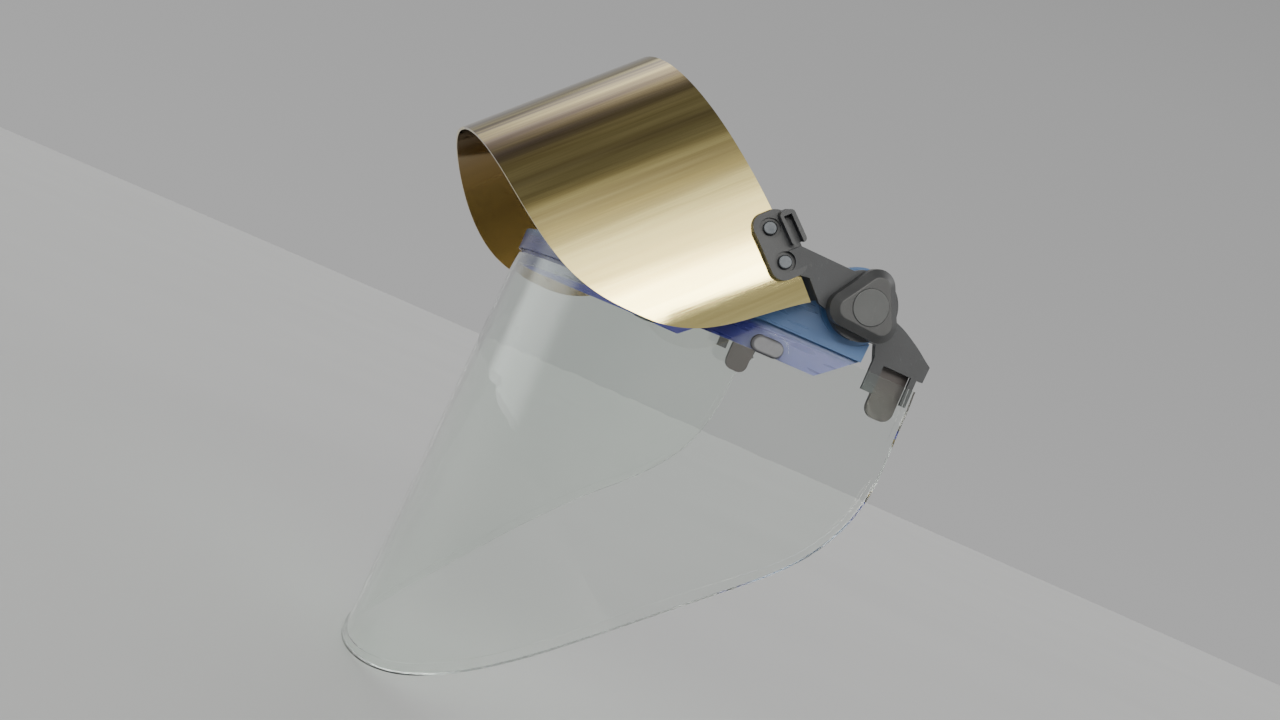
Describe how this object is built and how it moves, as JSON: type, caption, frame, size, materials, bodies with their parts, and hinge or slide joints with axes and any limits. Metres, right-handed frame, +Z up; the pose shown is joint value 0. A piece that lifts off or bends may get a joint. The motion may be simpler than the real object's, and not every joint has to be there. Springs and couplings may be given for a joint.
{
  "type": "hat-mounted face shield",
  "caption": "Hat-mounted face shield: flared clear visor on a translucent crown, flip-up gold-coated visor on side arms, three-cornered pivot knobs, and blades for a safety hat's side slots.",
  "frame": {"origin": "midway between the two hat blades, level with the lower edges of the temple brackets' fins", "axes": "+X towards the wearer's left, +Y towards the back of the head, +Z up; the clear visor's straight upper edge is level and the wearer looks along -Y"},
  "size_m": [0.2788, 0.2058, 0.2979],
  "materials": {
    "crown_blue": "translucent blue moulding, smooth gloss",
    "clear_sheet": "clear optical sheet, polished",
    "stud_grey": "dark grey moulded, satin",
    "black_plastic": "black moulded, fine grain",
    "gold_coating": "thin gold reflective coating on polycarbonate",
    "rivet_steel": "blackened rivets, satin",
    "blade_plastic": "dark brown-black moulded",
    "knob_plastic": "black moulded, satin bevels",
    "cap_plastic": "black moulded, satin",
    "zinc_steel": "zinc plated",
    "washer_plastic": "natural nylon"
  },
  "bodies": {
    "temple_mounts": {"temple_bracket_left": "black_plastic", "temple_bracket_right": "black_plastic", "hat_blade_left": "blade_plastic", "hat_blade_right": "blade_plastic", "blade_screws": "zinc_steel", "pivot_bolts": "zinc_steel", "friction_washers": "washer_plastic"},
    "shield": {"crown_shell": "crown_blue", "clear_visor": "clear_sheet", "visor_studs": "stud_grey", "stud_retainers": "black_plastic", "pivot_base_left": "black_plastic", "pivot_base_right": "black_plastic", "disc_springs": "zinc_steel"},
    "gold_flip": {"gold_visor": "gold_coating", "lift_arm_left": "black_plastic", "lift_arm_right": "black_plastic", "backing_plate_left": "black_plastic", "backing_plate_right": "black_plastic", "arm_rivets": "rivet_steel"},
    "left_knob": {"knob_left": "knob_plastic", "knob_nut_left": "zinc_steel", "knob_cap_left": "cap_plastic"},
    "right_knob": {"knob_right": "knob_plastic", "knob_nut_right": "zinc_steel", "knob_cap_right": "cap_plastic"}
  },
  "joints": [
    {"name": "shield_tilt", "type": "hinge", "parent": "temple_mounts", "child": "shield", "pos_m": [0, -0.0302, 0.0176], "axis": [-1, 0, 0], "range_deg": [0, 50]},
    {"name": "gold_flip_hinge", "type": "hinge", "parent": "shield", "child": "gold_flip", "pos_m": [0, -0.0302, 0.0176], "axis": [-1, 0, 0], "range_deg": [-44.66, 22]},
    {"name": "left_knob_turn", "type": "hinge", "parent": "temple_mounts", "child": "left_knob", "pos_m": [0.135, -0.0302, 0.0176], "axis": [-1, 0, 0], "range_deg": [0, 120]},
    {"name": "right_knob_turn", "type": "hinge", "parent": "temple_mounts", "child": "right_knob", "pos_m": [-0.135, -0.0302, 0.0176], "axis": [1, 0, 0], "range_deg": [0, 120]}
  ]
}
